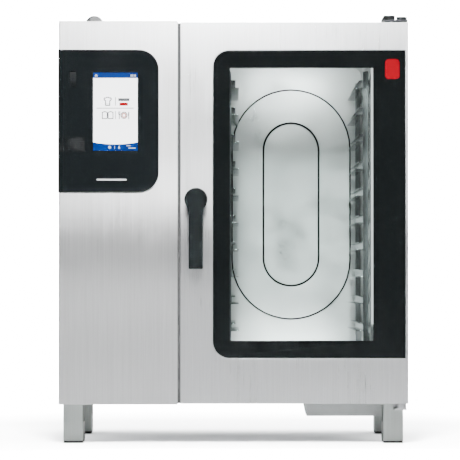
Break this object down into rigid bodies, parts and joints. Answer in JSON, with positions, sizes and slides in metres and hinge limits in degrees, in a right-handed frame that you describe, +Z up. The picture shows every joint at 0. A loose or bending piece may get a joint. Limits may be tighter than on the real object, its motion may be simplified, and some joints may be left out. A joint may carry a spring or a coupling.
{
  "type": "combi steamer oven",
  "caption": "Countertop combi steamer with a touch control on the left, a right-hinged double-glazed door, tray racks, fan and heater, and four box legs.",
  "frame": {"origin": "centre of the footprint box on the floor, at the feet's underside", "axes": "+Z up, +X to the right seen from the front, -Y out of the door"},
  "size_m": [0.875, 0.792, 1.109],
  "materials": {
    "casing_steel": "vertical brushed grain, satin",
    "door_steel": "vertical brushed grain, satin",
    "frame_steel": "fine brushed",
    "cavity_steel": "smooth, slightly hazed",
    "rack_steel": "smooth drawn",
    "hardware_steel": "machined",
    "leg_steel": "brushed",
    "pipe_steel": "bright",
    "cover_steel": "dull",
    "fan_steel": "cast, fine",
    "heater_sheath": "oxidised",
    "motor_paint": "matt",
    "pump_body": "moulded",
    "insulation_wool": "fibrous",
    "gasket_rubber": "matt",
    "module_plastic": "satin",
    "module_glass": "polished",
    "screen": "lit display",
    "board": "circuit board",
    "relay_plastic": "moulded",
    "fan_plastic": "moulded",
    "gland_plastic": "moulded",
    "drain_plastic": "moulded",
    "cap_plastic": "moulded",
    "handle_plastic": "fine satin",
    "switch_plastic": "satin",
    "foot_plastic": "moulded",
    "brass": "turned",
    "clear_glass": "polished",
    "black_print": "enamel behind glass",
    "light_diffuser": "frosted"
  },
  "bodies": {
    "casing": {"base_pan": "frame_steel", "left_side_panel": "casing_steel", "right_side_panel": "casing_steel", "top_panel": "casing_steel", "rear_panel": "casing_steel", "left_front_panel": "casing_steel", "front_frame": "frame_steel", "cavity_liner": "cavity_steel", "cavity_back": "cavity_steel", "cavity_insulation": "insulation_wool", "door_gasket": "gasket_rubber", "suction_panel": "cavity_steel", "rack_studs": "hardware_steel", "heater_coil": "heater_sheath", "fan_motor": "motor_paint", "spray_pipe": "pipe_steel", "water_inlets": "brass", "wash_pump": "pump_body", "condenser_box": "cavity_steel", "cavity_drain_pipe": "pipe_steel", "drain_outlet": "drain_plastic", "exhaust_pipe": "pipe_steel", "air_intake_pipe": "pipe_steel", "contactors": "relay_plastic", "cable_gland": "gland_plastic", "control_board": "board", "control_housing": "module_plastic", "control_glass": "module_glass", "display_panel": "screen", "cooling_fan_frame": "fan_plastic", "hinge_bracket_top": "hardware_steel", "hinge_cap_top": "cap_plastic", "hinge_bracket_bottom": "hardware_steel", "striker_pin": "hardware_steel", "legs": "leg_steel", "underside_cover": "cover_steel", "drain_strainer": "cavity_steel"},
    "door": {"door_skin": "door_steel", "door_glass": "clear_glass", "door_print": "black_print", "door_inner_frame": "frame_steel", "door_inner_pane": "clear_glass", "pane_fittings": "hardware_steel", "door_light_bar": "light_diffuser", "hinge_bushes": "hardware_steel", "handle_escutcheon": "cap_plastic"},
    "handle": {"door_handle": "handle_plastic", "handle_spindle": "hardware_steel"},
    "fan": {"fan_wheel": "fan_steel", "fan_shaft": "hardware_steel"},
    "cooling_fan": {"cooling_fan_wheel": "fan_plastic"},
    "damper": {"damper_flap": "brass"},
    "switch": {"power_switch": "switch_plastic"},
    "usb_flap": {"usb_cover": "module_plastic"},
    "foot_fl": {"foot_front_left": "foot_plastic"},
    "foot_fr": {"foot_front_right": "foot_plastic"},
    "foot_rl": {"foot_rear_left": "foot_plastic"},
    "foot_rr": {"foot_rear_right": "foot_plastic"},
    "left_rack": {"rack_left": "rack_steel"},
    "right_rack": {"rack_right": "rack_steel"}
  },
  "joints": [
    {"name": "door_swing", "type": "hinge", "parent": "casing", "child": "door", "pos_m": [0.421, -0.312, 0.58], "axis": [0, 0, 1], "range_deg": [0, 130]},
    {"name": "handle_turn", "type": "hinge", "parent": "door", "child": "handle", "pos_m": [-0.093, -0.384, 0.612], "axis": [0, -1, 0], "range_deg": [-180, 180]},
    {"name": "fan_spin", "type": "hinge", "parent": "casing", "child": "fan", "pos_m": [-0.08, 0.02, 0.6], "axis": [1, 0, 0], "continuous": true},
    {"name": "cooling_fan_spin", "type": "hinge", "parent": "casing", "child": "cooling_fan", "pos_m": [-0.31, 0.35, 0.88], "axis": [0, 1, 0], "continuous": true},
    {"name": "damper_turn", "type": "hinge", "parent": "casing", "child": "damper", "pos_m": [-0.07, 0.16, 1.038], "axis": [0, 1, 0], "range_deg": [0, 90]},
    {"name": "switch_rock", "type": "hinge", "parent": "casing", "child": "switch", "pos_m": [-0.40025, -0.332, 0.9125], "axis": [-1, 0, 0], "range_deg": [0, 14]},
    {"name": "usb_flap_turn", "type": "hinge", "parent": "casing", "child": "usb_flap", "pos_m": [-0.43685, -0.318, 0.749], "axis": [0, 0, -1], "range_deg": [0, 95]},
    {"name": "foot_fl_slide", "type": "slide", "parent": "casing", "child": "foot_fl", "axis": [0, 0, -1], "range_m": [0, 0.015]},
    {"name": "foot_fr_slide", "type": "slide", "parent": "casing", "child": "foot_fr", "axis": [0, 0, -1], "range_m": [0, 0.015]},
    {"name": "foot_rl_slide", "type": "slide", "parent": "casing", "child": "foot_rl", "axis": [0, 0, -1], "range_m": [0, 0.015]},
    {"name": "foot_rr_slide", "type": "slide", "parent": "casing", "child": "foot_rr", "axis": [0, 0, -1], "range_m": [0, 0.015]},
    {"name": "left_rack_lift", "type": "slide", "parent": "casing", "child": "left_rack", "axis": [0, 0, 1], "range_m": [0, 0.018]},
    {"name": "right_rack_lift", "type": "slide", "parent": "casing", "child": "right_rack", "axis": [0, 0, 1], "range_m": [0, 0.018]}
  ]
}
